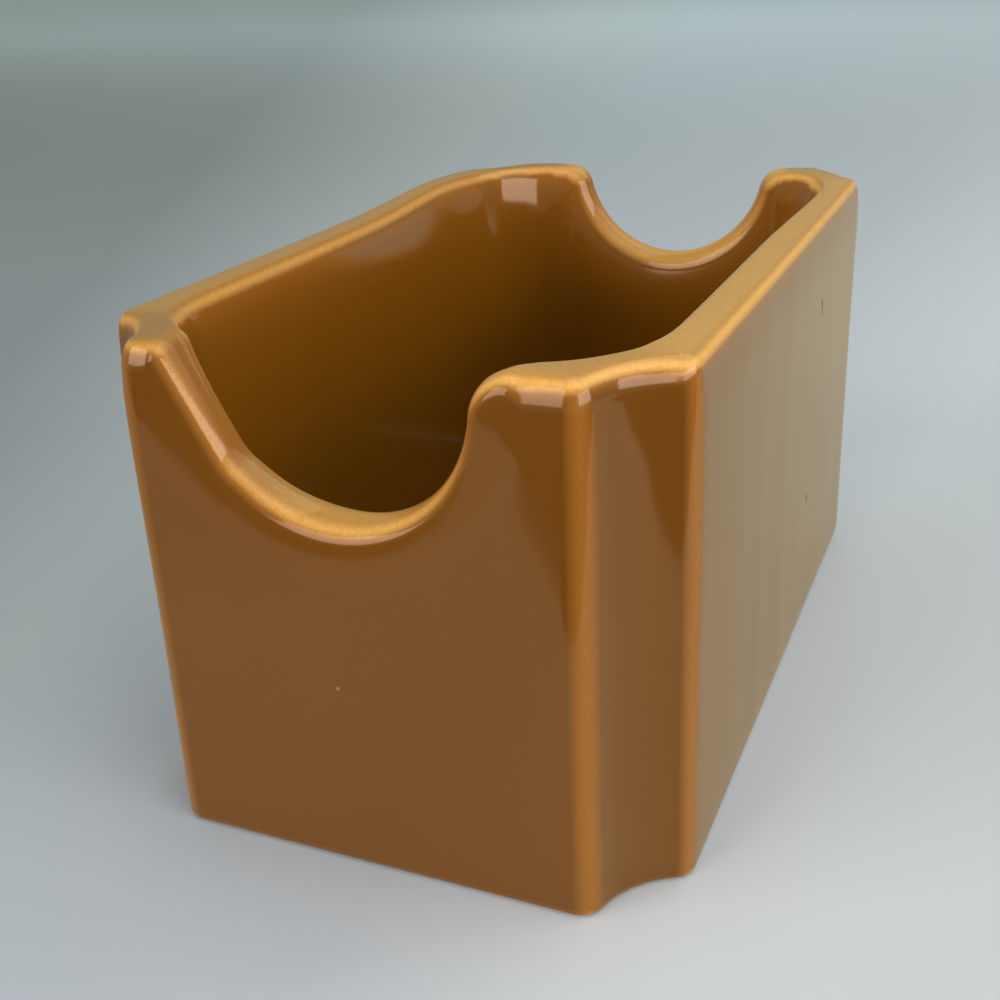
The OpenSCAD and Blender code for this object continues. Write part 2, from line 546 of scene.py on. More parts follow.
@dataclass
class Skin:
    """Rings of points that close into a skin, with the masks that its finish reads."""

    rings: list[np.ndarray] = field(default_factory=list)
    thin: list[np.ndarray] = field(default_factory=list)
    pooled: list[np.ndarray] = field(default_factory=list)

    def add(
        self, ring: np.ndarray, thin: np.ndarray | float = 0.0, pooled: np.ndarray | float = 0.0
    ) -> None:
        """Adds one ring.

        Args:
            ring: Its points.
            thin: How thin the glaze is there.
            pooled: How far it has gathered there, which also sets painted fill light.
        """
        self.rings.append(ring)
        self.thin.append(np.broadcast_to(thin, len(ring)))
        self.pooled.append(np.broadcast_to(pooled, len(ring)))

    def to_object(self, name: str, closed_start: bool, closed_end: bool) -> bpy.types.Object:
        """Makes the mesh object.

        Args:
            name: Name of the piece.
            closed_start: Whether a flat face closes the first ring.
            closed_end: Whether a flat face closes the last ring.

        Returns:
            The new object, smooth shaded and linked to the scene.
        """
        count, rows = len(self.rings[0]), len(self.rings)
        here = np.arange((rows - 1) * count).reshape(rows - 1, count)
        beside = np.roll(here, -1, axis=1)
        quads = np.stack([here, beside, beside + count, here + count], axis=2).reshape(-1, 4)
        faces = quads.tolist()
        if closed_start:
            faces.append(list(range(count))[::-1])
        if closed_end:
            faces.append(list(range((rows - 1) * count, rows * count)))
        mesh = bpy.data.meshes.new(name)
        mesh.from_pydata(np.vstack(self.rings).tolist(), [], faces)
        for label, values in ((THIN_AND_RIGHT_LIGHT, self.thin), (POOLED_AND_FILL_LIGHT, self.pooled)):
            attribute = mesh.attributes.new(label, "FLOAT", "POINT")
            attribute.data.foreach_set("value", np.concatenate(values).astype(np.float32))
        mesh.polygons.foreach_set("use_smooth", [True] * len(mesh.polygons))
        mesh.update()
        return linked(name, mesh)


@dataclass
class Casting:
    """Shape of the holder: its plan, its scoops and the rings that its skins are made of."""

    width: float
    length: float
    height: float
    glaze: float
    wall: float = 5.6 * MM
    floor: float = 6 * MM
    floor_bend: float = 3.6 * MM
    foot_round: float = 1.5 * MM
    glaze_stop: float = math.radians(30)
    recess: float = 1.2 * MM
    recess_slope: float = 0.8 * MM
    edges: GlazeBreak = GlazeBreak()
    front: Scoop = Scoop(
        depth=15.7 * MM, offset=-1.2 * MM, left_shoulder=2.0 * MM, right_shoulder=4.6 * MM,
        left_knee=Knee(arc_end=math.radians(39.5), cut=2.1 * MM, flank=math.radians(61.6)),
    )
    rear: Scoop = Scoop(
        depth=12.5 * MM, offset=1.6 * MM, left_shoulder=3.5 * MM, right_shoulder=3.5 * MM
    )
    # Rounding of the rim, down the face and across its top
    land_round: Pair = (3.7 * MM, 1.8 * MM)
    cove_round: Pair = (2.9 * MM, 1.8 * MM)
    front_scoop_round: Pair = (1.7 * MM, 2.3 * MM)
    rear_scoop_round: Pair = (1.7 * MM, 1.9 * MM)
    side_round: Pair = (1.9 * MM, 1.4 * MM)
    inner_least: float = 2.2 * MM
    inner_extra: float = 0.3 * MM
    # How the faces ease in under it, and how the rear wall flares inside
    ease_angle: float = math.radians(7)
    scoop_ease_angle: float = math.radians(8.5)
    cove_ease_angle: float = math.radians(2.5)
    ease_height: float = 5 * MM
    flare_angle: float = math.radians(6)
    flare_height: float = 4 * MM
    flare_share: float = 0.36
    # Where the long walls end, as shares of the length
    side_end: float = 0.435
    side_fade: float = 0.03
    # How far along the wall the hand evens out what it shapes
    size_blend: float = 0.9 * MM
    hand_blend: float = 1.5 * MM
    cavity_blend: float = 4.5 * MM
    soft_corner: float = 3.5 * MM
    soft_reach: Pair = (MM, 20 * MM)
    # Where the rim stands a little high, low or full
    swells: tuple[Swell, ...] = (
        Swell((-29.5 * MM, 27 * MM), span=14 * MM, rise=0.85 * MM),
        Swell((26.3 * MM, 47.2 * MM), span=4 * MM, rise=0.1 * MM, out=2.2 * MM),
    )
    front_lift: float = 1.1 * MM
    rear_lift: float = -0.7 * MM
    lift_place: float = -4 * MM
    lift_span: float = 8 * MM
    rim_steps: int = 12
    wall_rows: int = 34
    row_crowding: float = 1.6
    side_steps: int = 40
    foot_steps: int = 8
    bend_steps: int = 8
    floor_rings: int = 5
    unevenness: float = 0.1 * MM
    uneven_span: float = 26 * MM
    uneven_seed: int = 4

    def __post_init__(self) -> None:
        """Lays out the stations round the wall and finishes the rim."""
        noise.seed_set(self.uneven_seed)
        self.plan = CornerPlan(self.wall)
        self.stations = self.lay_out()
        self.soften_cavity()
        on_side = self.beside()
        self.outer_rim, self.inner_rim = self.roundings(on_side)
        self.raise_swells()
        self.lift = self.inner_lift()
        self.rim_break = self.edges.rim_break(self.stations, on_side)

    @classmethod
    def from_frame(cls) -> "Casting":
        """Takes the overall sizes and the glaze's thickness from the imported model.

        Returns:
            The casting.
        """
        low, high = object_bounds()
        clay_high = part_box("clay_body")[1]
        return cls(high.x - low.x, high.y - low.y, high.z, high.x - clay_high.x)

    @property
    def half_box(self) -> np.ndarray:
        """Half the width and half the length."""
        return np.array([self.width, self.length]) / 2

    def placed(self, points: np.ndarray, sx: int, sy: int) -> np.ndarray:
        """Turns places in from the side and end faces into places in the frame."""
        return (self.half_box - points) * [sx, sy]

    def end_wall(self, end: End) -> Stations:
        """The stations along one end wall's scoop.

        Args:
            end: Which end wall it is.

        Returns:
            The stations, from -X to +X.
        """
        scoop = self.front if end is End.FRONT else self.rear
        sy = end.value
        rows = scoop.outline()
        count = len(rows)
        base_x = np.linspace(rows[0, 0], rows[-1, 0], count)
        inner, inner_normal = self.cavity_line(rows[:, 0], sy)
        base, base_normal = self.cavity_line(base_x, sy)
        face = np.full(count, sy * self.length / 2)
        out = np.tile([0.0, float(sy)], (count, 1))
        return Stations(
            np.column_stack([rows[:, 0], face]), out, inner, inner_normal,
            self.height - rows[:, 1], rows[:, 2:4],
            np.column_stack([base_x, face]), base, base_normal, np.zeros(count),
            np.ones(count),
        )

    def cavity_line(self, places: np.ndarray, sy: int) -> tuple[np.ndarray, np.ndarray]:
        """The cavity's edge along an end wall.

        Args:
            places: Sideways places in the holder's frame.
            sy: 1 at the rear, -1 at the front.

        Returns:
            The points and their normals.
        """
        points, normals = [], []
        for x in places:
            sx = -1 if x < 0 else 1
            point, normal = self.plan.cavity_edge(self.width / 2 - abs(x))
            points.append(self.placed(point, sx, sy))
            normals.append(-normal * [sx, sy])
        return np.array(points), np.array(normals)

    def corner(self, sx: int, sy: int, scoop_end: float) -> Stations:
        """The stations round one corner.

        Args:
            sx: 1 on the right, -1 on the left.
            sy: 1 at the rear, -1 at the front.
            scoop_end: Sideways place in the holder's frame where the scoop ends.

        Returns:
            The stations, from the scoop to the side wall.
        """
        place = self.width / 2 - abs(scoop_end)
        outer, outer_normal = self.plan.outside(place)
        inner, inner_normal = self.plan.inside(place)
        count = len(outer)
        ridge = np.zeros(count)
        steps = self.plan.ridge_steps
        hump = np.sin(np.linspace(0, math.pi, steps + 1))
        first = self.plan.land_steps - 1
        ridge[first : first + steps + 1] = hump
        ridge[count - steps - 1 :] = hump
        outer, inner = self.placed(outer, sx, sy), self.placed(inner, sx, sy)
        outer_normal, inner_normal = -outer_normal * [sx, sy], -inner_normal * [sx, sy]
        rim = np.full(count, self.height)
        upright = np.tile([0.0, 1.0], (count, 1))
        return Stations(
            outer, outer_normal, inner, inner_normal, rim, upright, outer, inner, inner_normal,
            ridge, np.zeros(count),
        )

    def lay_out(self) -> Stations:
        """Lays out the whole wall.

        Returns:
            All the stations, against the clock seen from above.
        """
        front, rear = self.end_wall(End.FRONT), self.end_wall(End.REAR).reversed()
        front_right = self.corner(1, -1, front.outer[-1, 0])
        rear_right = self.corner(1, 1, rear.outer[0, 0]).reversed()
        rear_left = self.corner(-1, 1, rear.outer[-1, 0])
        front_left = self.corner(-1, -1, front.outer[0, 0]).reversed()
        return Stations.joined([
            front, front_right, front_right.between(rear_right, self.side_steps), rear_right,
            rear, rear_left, rear_left.between(front_left, self.side_steps), front_left,
        ])

    def soften_cavity(self) -> None:
        """Draws the cavity's line and the rear left corner as the soft curves they are."""
        s = self.stations
        at_rear = smooth(-s.outer[:, 0] / self.soft_reach[0])
        at_rear *= smooth(s.outer[:, 1] / self.soft_reach[1])
        everywhere = np.ones((len(s.rim), 1))
        for line, normals, span, where in (
            (s.inner, s.inner_normal, self.cavity_blend, everywhere),
            (s.inner_base, s.base_normal, self.cavity_blend, everywhere),
            (s.outer, s.outer_normal, self.soft_corner, at_rear[:, None]),
        ):
            weights = near_weights(line, span)
            line += (weights @ line - line) * where
            normals += (weights @ normals - normals) * where
            normals /= np.linalg.norm(normals, axis=1, keepdims=True)

    def beside(self) -> np.ndarray:
        """1 at the stations of the long walls, eased to 0 before the end walls."""
        share = np.abs(self.stations.outer[:, 1]) / self.length
        return smooth((self.side_end - share) / self.side_fade)

    def roundings(self, on_side: np.ndarray) -> tuple[RimProfile, RimProfile]:
        """The rim's rounding outside and inside, as it was sponged by hand.

        Args:
            on_side: 1 at the stations of the long walls, 0 at the end walls.

        Returns:
            The outer rounding and the inner one.
        """
        s, y = self.stations, self.stations.outer[:, 1]
        sizes = np.outer(1 - on_side, self.land_round) + np.outer(on_side, self.side_round)
        reach = self.half_box - (self.plan.end_setback, self.plan.side_setback)
        in_cove = (np.abs(s.outer) > reach).all(axis=1)
        sizes[in_cove] = self.cove_round
        scoops = np.where(y[:, None] < 0, self.front_scoop_round, self.rear_scoop_round)
        sizes += (scoops - sizes) * s.scoop[:, None]
        down, across = (near_weights(s.outer, self.size_blend) @ sizes).T
        ease_angle = np.full(len(y), self.ease_angle)
        ease_angle[in_cove] = self.cove_ease_angle
        ease_angle[(s.scoop > 0) & (y < 0)] = self.scoop_ease_angle
        ease_angle = near_weights(s.outer, self.hand_blend) @ ease_angle
        flare = smooth(y / (self.flare_share * self.length))
        return (
            RimProfile(down, across, ease_angle, np.full_like(down, self.ease_height)),
            RimProfile(
                np.maximum(down, self.inner_least) + self.inner_extra, across,
                self.ease_angle + self.flare_angle * flare,
                self.ease_height + self.flare_height * flare,
            ),
        )

    def raise_swells(self) -> None:
        """Raises the rim and pushes the outside out where they swell, inside the box."""
        s = self.stations
        for swell in self.swells:
            away = np.linalg.norm(s.outer - swell.place, axis=1) / swell.span
            share = np.exp(-(away**2)) * (1 - s.scoop)
            s.rim += swell.rise * share
            out = s.outer + s.outer_normal * (swell.out * share)[:, None]
            s.outer[:] = np.clip(out, -self.half_box, self.half_box)

    def inner_lift(self) -> np.ndarray:
        """How much higher the rim is inside than outside, at the scoops.

        Returns:
            One height per station.
        """
        s = self.stations
        hump = np.exp(-(((s.outer[:, 0] - self.lift_place) / self.lift_span) ** 2))
        lift = np.where(s.outer[:, 1] < 0, self.front_lift * hump, self.rear_lift) * s.scoop
        return near_weights(s.outer, self.hand_blend) @ lift

    def profile(self, inside: bool) -> RimProfile:
        """The rounding on one side of the rim's top."""
        return self.inner_rim if inside else self.outer_rim

    def on_rim(self, inside: bool, inset: np.ndarray | float, rise: np.ndarray) -> np.ndarray:
        """One ring along the rim, set off square to its line.

        Args:
            inside: Whether it is set off from the cavity's face.
            inset: How far in from that face.
            rise: How far up from the rim.

        Returns:
            The ring's points.
        """
        s = self.stations
        point, normal = (s.inner, s.inner_normal) if inside else (s.outer, s.outer_normal)
        xy = point - normal * np.reshape(inset, (-1, 1))
        x = xy[:, 0] + s.tilt[:, 0] * rise
        return np.column_stack([x, xy[:, 1], s.rim + s.tilt[:, 1] * rise])

    def rim_ring(self, inside: bool, share: float, under: float) -> np.ndarray:
        """One ring of the rim's rounding.

        Args:
            inside: Whether it lies on the cavity's side.
            share: Share of the way from the face to the top.
            under: How deep the skin lies under the glaze's surface.

        Returns:
            The ring's points.
        """
        rim = self.profile(inside)
        inset = rim.inset(share, under)
        across = 1 - inset / self.wall if inside else inset / self.wall
        return self.on_rim(inside, inset, self.lift * smooth(across) - rim.sink(share, under))

    def face_rows(
        self, inside: bool, top: np.ndarray, foot: np.ndarray
    ) -> list[tuple[np.ndarray, np.ndarray]]:
        """Rings down a wall's face, eased in below the rim.

        Args:
            inside: Whether it is the cavity's face.
            top: The face's upper line before it is eased.
            foot: Its lower line.

        Returns:
            The rings from the top down, without the first and the last, each with
            its points' distances from the rounding.
        """
        s, rows = self.stations, []
        rim = self.profile(inside)
        normal = s.inner_normal if inside else s.outer_normal
        foot_normal = s.base_normal if inside else s.outer_normal
        for step in range(1, self.wall_rows):
            share = (step / self.wall_rows) ** self.row_crowding
            ring = top + (foot - top) * share
            way = normal + (foot_normal - normal) * share
            distance = distance_to_loop(ring, top)
            rows.append((pushed(ring, -way, rim.eased(distance)), distance))
        return rows

    def wall_top(self, inside: bool, under: float) -> np.ndarray:
        """A face's upper line, where the rim's rounding starts, before it is eased."""
        rim = self.profile(inside)
        return self.on_rim(inside, under, self.lift * inside - rim.sink(0, 0))

    def foot_ring(self, angle: float, under: float) -> np.ndarray:
        """One ring of the rounding at the foot.

        Args:
            angle: How far round it is, from 0 at the wall to a right angle underneath.
            under: How deep the skin lies under the glaze's surface.

        Returns:
            The ring's points.
        """
        s, r = self.stations, self.foot_round - under
        xy = s.outer_base - s.outer_normal * (self.foot_round - r * math.cos(angle))
        return level_ring(xy, self.foot_round - self.glaze - r * math.sin(angle))

    def floor_ring(self, angle: float, under: float) -> np.ndarray:
        """One ring of the bend between the walls and the cavity's floor.

        Args:
            angle: How far round it is, from 0 at the wall to a right angle at the floor.
            under: How deep the skin lies under the glaze's surface.

        Returns:
            The ring's points.
        """
        s, r = self.stations, self.floor_bend + under
        xy = s.inner_base + s.base_normal * (self.floor_bend - r * math.cos(angle))
        return level_ring(xy, self.floor + self.floor_bend - r * math.sin(angle))

    def base_ring(self, inset: float, z: float) -> np.ndarray:
        """A level ring under the floor, in from the line under the cavity's edge."""
        return level_ring(self.stations.inner_base + self.stations.base_normal * inset, z)

    def outer_face(self, under: float) -> list[tuple[np.ndarray, np.ndarray]]:
        """Rings up the outside, between the foot and the rim."""
        return self.face_rows(False, self.wall_top(False, under), self.foot_ring(0, under))[::-1]

    def inner_face(self, under: float) -> list[tuple[np.ndarray, np.ndarray]]:
        """Rings down the cavity's walls, between the rim and the bend."""
        return self.face_rows(True, self.wall_top(True, under), self.floor_ring(0, under))

    def coated(self, under: float) -> Skin:
        """The glazed surface, from the line where it is wiped off to the cavity's floor.

        Args:
            under: How deep the skin lies under the glaze's surface.

        Returns:
            The skin, with its thin and pooled places marked.
        """
        s, skin, edges = self.stations, Skin(), self.edges
        ridge, rim = s.ridge * edges.ridge_share, self.rim_break
        for angle in np.linspace(self.glaze_stop, 0, self.foot_steps):
            skin.add(self.foot_ring(angle, under), ridge + edges.foot_share * math.sin(angle))
        for ring, distance in self.outer_face(under):
            thin = rim.at(self.outer_rim.angle(0)) * np.exp(-distance / edges.fade)
            skin.add(ring, np.maximum(ridge, thin))
        shares = np.linspace(0, 1, self.rim_steps + 1)
        for share in shares:
            thin = np.maximum(ridge, rim.at(self.outer_rim.angle(share)))
            skin.add(self.rim_ring(False, share, under), thin)
        for share in shares[::-1]:
            thin = np.maximum(rim.at(self.inner_rim.angle(share)), edges.cavity_share)
            skin.add(self.rim_ring(True, share, under), thin)
        for ring, distance in self.inner_face(under):
            depth = (self.height - ring[:, 2]) / (self.height - self.floor)
            thin = edges.cavity_share * np.exp(-distance / edges.cavity_fade)
            skin.add(ring, thin, edges.in_cavity(depth))
        for angle in np.linspace(0, math.pi / 2, self.bend_steps + 1):
            skin.add(self.floor_ring(angle, under), 0.0, edges.in_bend(angle))
        last = skin.rings[-1]
        for share in np.linspace(1, 0, self.floor_rings + 1)[1:-1]:
            skin.add(last * [share, share, 1], 0.0, edges.wall_pool_share)
        skin.rings = [self.uneven(ring) for ring in skin.rings]
        return skin

    def bare(self) -> Skin:
        """The bare clay, from the recess across the foot ring to the wiped line.

        Returns:
            The skin, with nothing marked.
        """
        skin = Skin()
        skin.add(self.base_ring(self.recess_slope, self.recess))
        skin.add(self.base_ring(0, 0))
        for angle in np.linspace(math.pi / 2, self.glaze_stop, self.foot_steps)[:-1]:
            skin.add(self.foot_ring(angle, self.glaze))
        return skin

    def uneven(self, ring: np.ndarray) -> np.ndarray:
        """Moves a ring by the slow waviness of a slip casting, but for its foot.

        Args:
            ring: Its points.

        Returns:
            The ring in its new place.
        """
        moved = ring.copy()
        for row in moved:
            wave = noise.noise_vector(Vector(row) / self.uneven_span)
            row += np.array(wave) * self.unevenness * min(row[2] / self.foot_round, 1)
        return moved


def level_ring(xy: np.ndarray, z: float) -> np.ndarray:
    """A ring at one height."""
    return np.column_stack([xy, np.full(len(xy), z)])


def pushed(ring: np.ndarray, way: np.ndarray, amount: np.ndarray) -> np.ndarray:
    """Moves a ring sideways.

    Args:
        ring: Its points.
        way: Which way each point goes.
        amount: How far each point goes.

    Returns:
        The ring in its new place.
    """
    moved = ring.copy()
    moved[:, :2] += way * amount[:, None]
    return moved


def near_weights(loop: np.ndarray, span: float) -> np.ndarray:
    """Weights that even out a value along a closed line.

    Args:
        loop: The line's points, in order.
        span: How far along the line a point counts.

    Returns:
        One row of weights per point, which add up to 1.
    """
    steps = np.linalg.norm(np.roll(loop, -1, axis=0) - loop, axis=1)
    along = np.concatenate([[0], np.cumsum(steps)[:-1]])
    whole = steps.sum()
    gap = np.abs(along[:, None] - along[None])
    gap = np.minimum(gap, whole - gap)
    share = (steps + np.roll(steps, 1)) / 2
    weights = np.exp(-((gap / span) ** 2)) * share
    return weights / weights.sum(1, keepdims=True)


def distance_to_loop(points: np.ndarray, loop: np.ndarray) -> np.ndarray:
    """Least distance from each point to a closed line.

    Args:
        points: The points, one row each.
        loop: The line's corners, in order.

    Returns:
        One distance per point.
    """
    start, step = loop, np.roll(loop, -1, axis=0) - loop
    square = np.maximum((step**2).sum(1), TINY)
    away = points[:, None, :] - start[None]
    share = np.clip((away * step[None]).sum(2) / square, 0, 1)
    gap = away - share[..., None] * step[None]
    return np.sqrt((gap**2).sum(2).min(1))


class Tone(Enum):
    """What a mark in the glaze looks like, with its colour."""

    RUN = (0.168, 0.069, 0.011)
    PINHOLE = (0.32, 0.18, 0.07)
    IRON_SPECK = (0.03, 0.018, 0.008)


@dataclass(frozen=True)
class Blemish:
    """A small mark in the glaze: its place and half its size, in mm, and its look."""

    place: Triple
    reach: Triple
    tone: Tone


def maths(operation: str, swapped: bool = False) -> Callable[["Wire", "Wire | float"], "Wire"]:
    """Makes a method of Wire that adds a Math node.

    Args:
        operation: What the node does.
        swapped: Whether the other value comes first, as in 1 - mask.

    Returns:
        The method.
    """

    def apply(wire: "Wire", other: "Wire | float") -> "Wire":
        """Adds the node for this value and another."""
        values = (other, wire) if swapped else (wire, other)
        return wire.bench.add("ShaderNodeMath", {"operation": operation}, dict(enumerate(values)))

    return apply


class Wire:
    """A shader socket that takes part in Python arithmetic."""

    __add__, __radd__ = maths("ADD"), maths("ADD", True)
    __sub__, __rsub__ = maths("SUBTRACT"), maths("SUBTRACT", True)
    __mul__, __rmul__ = maths("MULTIPLY"), maths("MULTIPLY", True)
    __truediv__, __rtruediv__ = maths("DIVIDE"), maths("DIVIDE", True)
    least, most = maths("MINIMUM"), maths("MAXIMUM")

    def __init__(self, bench: "Bench", socket: bpy.types.NodeSocket) -> None:
        """Wraps an output socket of a node on the bench."""
        self.bench = bench
        self.socket = socket

    def eased(self, low: float, high: float) -> "Wire":
        """Eases this value between 0 and 1.

        Args:
            low: Where it is 0.
            high: Where it is 1, which may be the lower of the two.

        Returns:
            The eased value.
        """
        settings = {"interpolation_type": "SMOOTHSTEP"}
        inputs = {"Value": self, "From Min": low, "From Max": high}
        return self.bench.add("ShaderNodeMapRange", settings, inputs)


class Bench:
    """The node tree of one material or world, built by calls."""

    def __init__(self, tree: bpy.types.NodeTree) -> None:
        """Starts from an empty tree."""
        self.tree = tree
        tree.nodes.clear()

    def add(
        self, kind: str, settings: dict | None = None, inputs: dict | None = None,
        output: int | str = 0,
    ) -> Wire:
        """Adds one node.

        Args:
            kind: The node's type.
            settings: Its own settings; "stops" holds a ramp's places and colours.
            inputs: A number, colour or wire for each socket, by name or number.
            output: The output socket wanted.

        Returns:
            That output.
        """
        node = self.tree.nodes.new(kind)
        for name, value in (settings or {}).items():
            if name == "stops":
                self.set_stops(node.color_ramp, value)
            else:
                setattr(node, name, value)
        for key, value in (inputs or {}).items():
            socket = node.inputs[key]
            if isinstance(value, Wire):
                self.tree.links.new(value.socket, socket)
            elif isinstance(value, tuple) and socket.type == "RGBA":
                socket.default_value = (*value, 1)
            else:
                socket.default_value = value
        return Wire(self, node.outputs[output] if len(node.outputs) else None)

    @staticmethod
    def set_stops(ramp: bpy.types.ColorRamp, stops: list[tuple[float, Colour]]) -> None:
        """Sets a ramp's stops.

        Args:
            ramp: The ramp.
            stops: At least two places from 0 to 1, each with its colour.
        """
        while len(ramp.elements) < len(stops):
            ramp.elements.new(1)
        for element, (place, colour) in zip(ramp.elements, stops):
            element.position = place
            element.color = (*colour, 1)

    def mix(
        self, share: Wire | float, a: Wire | Colour, b: Wire | Colour, blend: str = "MIX"
    ) -> Wire:
        """Mixes two colours by a share; inputs 6 and 7 and output 2 are the colour ones."""
        settings = {"data_type": "RGBA", "blend_type": blend, "clamp_factor": True}
        return self.add("ShaderNodeMix", settings, {0: share, 6: a, 7: b}, 2)

    def vector(self, operation: str, *values: Wire | Triple, output: int | str = 0) -> Wire:
        """Adds a Vector Math node that works on the values given."""
        settings = {"operation": operation}
        return self.add("ShaderNodeVectorMath", settings, dict(enumerate(values)), output)

    def place(self) -> Wire:
        """The place on the object, in metres, in the object's own frame."""
        return self.add("ShaderNodeTexCoord", output="Object")

    def grain(self, span: float, detail: float = 2.0, stretch: Triple = (1, 1, 1)) -> Wire:
        """Noise from 0 to 1.

        Args:
            span: About how far across its features are, in metres.
            detail: How many finer layers it has.
            stretch: Factors on the place along the three axes.

        Returns:
            The noise.
        """
        place = self.vector("MULTIPLY", self.place(), stretch)
        inputs = {"Vector": place, "Scale": 1 / span, "Detail": detail}
        return self.add("ShaderNodeTexNoise", inputs=inputs)

    def mask(self, name: str) -> Wire:
        """One of the masks that the mesh carries."""
        settings = {"attribute_type": "GEOMETRY", "attribute_name": name}
        return self.add("ShaderNodeAttribute", settings, output="Fac")

    def bump(self, height: Wire, depth: float, below: Wire | None = None) -> Wire:
        """A bumped normal.

        Args:
            height: A height from 0 to 1.
            depth: What a height of 1 is, in metres.
            below: The normal that it is added to, where there is one.

        Returns:
            The normal.
        """
        inputs = {"Height": height, "Distance": depth, "Strength": 1.0}
        if below is not None:
            inputs["Normal"] = below
        return self.add("ShaderNodeBump", inputs=inputs)

    def shade(self, inputs: dict) -> None:
        """Ends the material in a Principled shader with the inputs given."""
        shader = self.add("ShaderNodeBsdfPrincipled", inputs=inputs)
        self.add("ShaderNodeOutputMaterial", inputs={"Surface": shader})


def new_material(name: str) -> tuple[bpy.types.Material, Bench]:
    """Makes an empty material with nodes.

    Args:
        name: Its name.

    Returns:
        The material and its bench.
    """
    material = bpy.data.materials.new(name)
    material.use_nodes = True
    return material, Bench(material.node_tree)


@dataclass(frozen=True)
class CaramelGlaze:
    """Glossy caramel glaze: deep on the faces, honey where it draws back from an edge."""

    body: Colour = (0.147, 0.0555, 0.0065)
    amber: Colour = (0.29, 0.115, 0.016)
    olive_top_sheen: Colour = (0.34, 0.178, 0.04)
    honey: Colour = (0.74, 0.42, 0.1)
    # Tone where the glaze pools in the cavity, lightened as painted fill light; the clouds use it
    # too
    umber: Colour = (0.2, 0.078, 0.004)
    gloss_tint: Colour = (1.0, 0.93, 0.75)
    roughness: float = 0.1
    index: float = 1.5
    cloud_span: float = 14 * MM
    cloud_share: float = 0.12
    peel_span: float = 5 * MM
    peel_depth: float = 0.012 * MM
    bubble_span: float = 0.35 * MM
    bubble_detail: float = 3.0
    bubble_depth: float = 0.01 * MM
    bubble_share: float = 0.4
    run_span: float = 9 * MM
    run_detail: float = 0.0
    run_depth: float = 0.07 * MM
    run_stretch: Triple = (1.0, 1.0, 0.06)
    wear_span: float = 14 * MM / 3
    wear_share: float = 0.6
    pit_depth: float = 0.08 * MM
    pit_roughness: float = 0.8
    mark_edge: Pair = (1.0, 0.2)
    # How thin the glaze is where it is amber, and how level where it turns olive, a painted
    # reflection on level tops
    amber_share: float = 0.4
    top_sheen_level: Pair = (0.6, 0.95)
    blemishes: tuple[Blemish, ...] = (
        Blemish((-2.2, -51.0, 20.1), (0.35, 1.0, 0.3), Tone.PINHOLE),
        Blemish((29.5, -4.5, 17.9), (1.0, 0.5, 0.22), Tone.PINHOLE),
        Blemish((-23.9, 6.9, 29.4), (1.0, 0.22, 0.18), Tone.PINHOLE),
        Blemish((16.5, 45.4, 49.5), (0.22, 1.0, 0.18), Tone.PINHOLE),
        Blemish((29.5, 15.3, 41.5), (1.0, 0.35, 0.8), Tone.IRON_SPECK),
        Blemish((29.5, 11.7, 17.5), (1.0, 0.25, 0.8), Tone.IRON_SPECK),
        Blemish((29.5, 16.0, 40.4), (1.0, 0.2, 0.6), Tone.IRON_SPECK),
        Blemish((29.5, 17.0, 25.0), (1.0, 1.8, 22.0), Tone.RUN),
    )

    def marks(self, bench: Bench, tone: Tone) -> Wire | float:
        """Mask of the marks of one tone.

        Args:
            bench: Where the nodes go.
            tone: The tone.

        Returns:
            1 on the marks and 0 elsewhere.
        """
        mask = 0.0
        for blemish in self.blemishes:
            if blemish.tone is not tone:
                continue
            scale = [1 / (reach * MM) for reach in blemish.reach]
            shift = [-at * MM * by for at, by in zip(blemish.place, scale)]
            away = bench.vector("MULTIPLY_ADD", bench.place(), scale, shift)
            away = bench.vector("LENGTH", away, output="Value")
            mask = away.eased(*self.mark_edge).most(mask)
        return mask

    def colour(self, bench: Bench) -> Wire:
        """Colour of the glaze over its masks, clouds, bubbles and marks, with a painted
        reflection on level tops and painted fill light where it pools.

        Args:
            bench: Where the nodes go.

        Returns:
            The colour.
        """
        cloud = bench.grain(self.cloud_span)
        bubbles = bench.grain(self.bubble_span, self.bubble_detail)
        thin = bench.mask(THIN_AND_RIGHT_LIGHT) * (1 - self.bubble_share / 2 + self.bubble_share * bubbles)
        # Pooled glaze in the cavity, lightened as painted fill light
        tone = bench.mix(bench.mask(POOLED_AND_FILL_LIGHT), self.body, self.umber)
        tone = bench.mix(cloud * self.cloud_share, tone, self.umber)
        # Painted reflection: thin glaze on level tops turns olive, standing in for the room seen
        # in it
        normal = bench.add("ShaderNodeTexCoord", output="Normal")
        level = bench.add("ShaderNodeSeparateXYZ", inputs={0: normal}, output="Z")
        broken_with_top_sheen = bench.mix(level.eased(*self.top_sheen_level), self.amber, self.olive_top_sheen)
        tone = bench.mix(thin / self.amber_share, tone, broken_with_top_sheen)
        tone = bench.mix((thin - self.amber_share) / (1 - self.amber_share), tone, self.honey)
        for kind in Tone:
            tone = bench.mix(self.marks(bench, kind), tone, kind.value)
        return tone

    def surface(self, bench: Bench) -> tuple[Wire, Wire]:
        """Surface of the glaze, with its orange peel, runs, burst bubbles and pits.

        Args:
            bench: Where the nodes go.

        Returns:
            The roughness and the normal.
        """
        runs = bench.grain(self.run_span, self.run_detail, self.run_stretch)
        peel = bench.bump(bench.grain(self.peel_span), self.peel_depth)
        peel = bench.bump(runs, self.run_depth, peel)
        bubbles = bench.grain(self.bubble_span, self.bubble_detail) * bench.mask(THIN_AND_RIGHT_LIGHT)
        skin = bench.bump(bubbles, self.bubble_depth, peel)
        specks = self.marks(bench, Tone.IRON_SPECK)
        skin = bench.bump(1 - specks, self.pit_depth, skin)
        worn = 1 - self.wear_share / 2 + self.wear_share * bench.grain(self.wear_span)
        return self.roughness * worn + specks * self.pit_roughness, skin

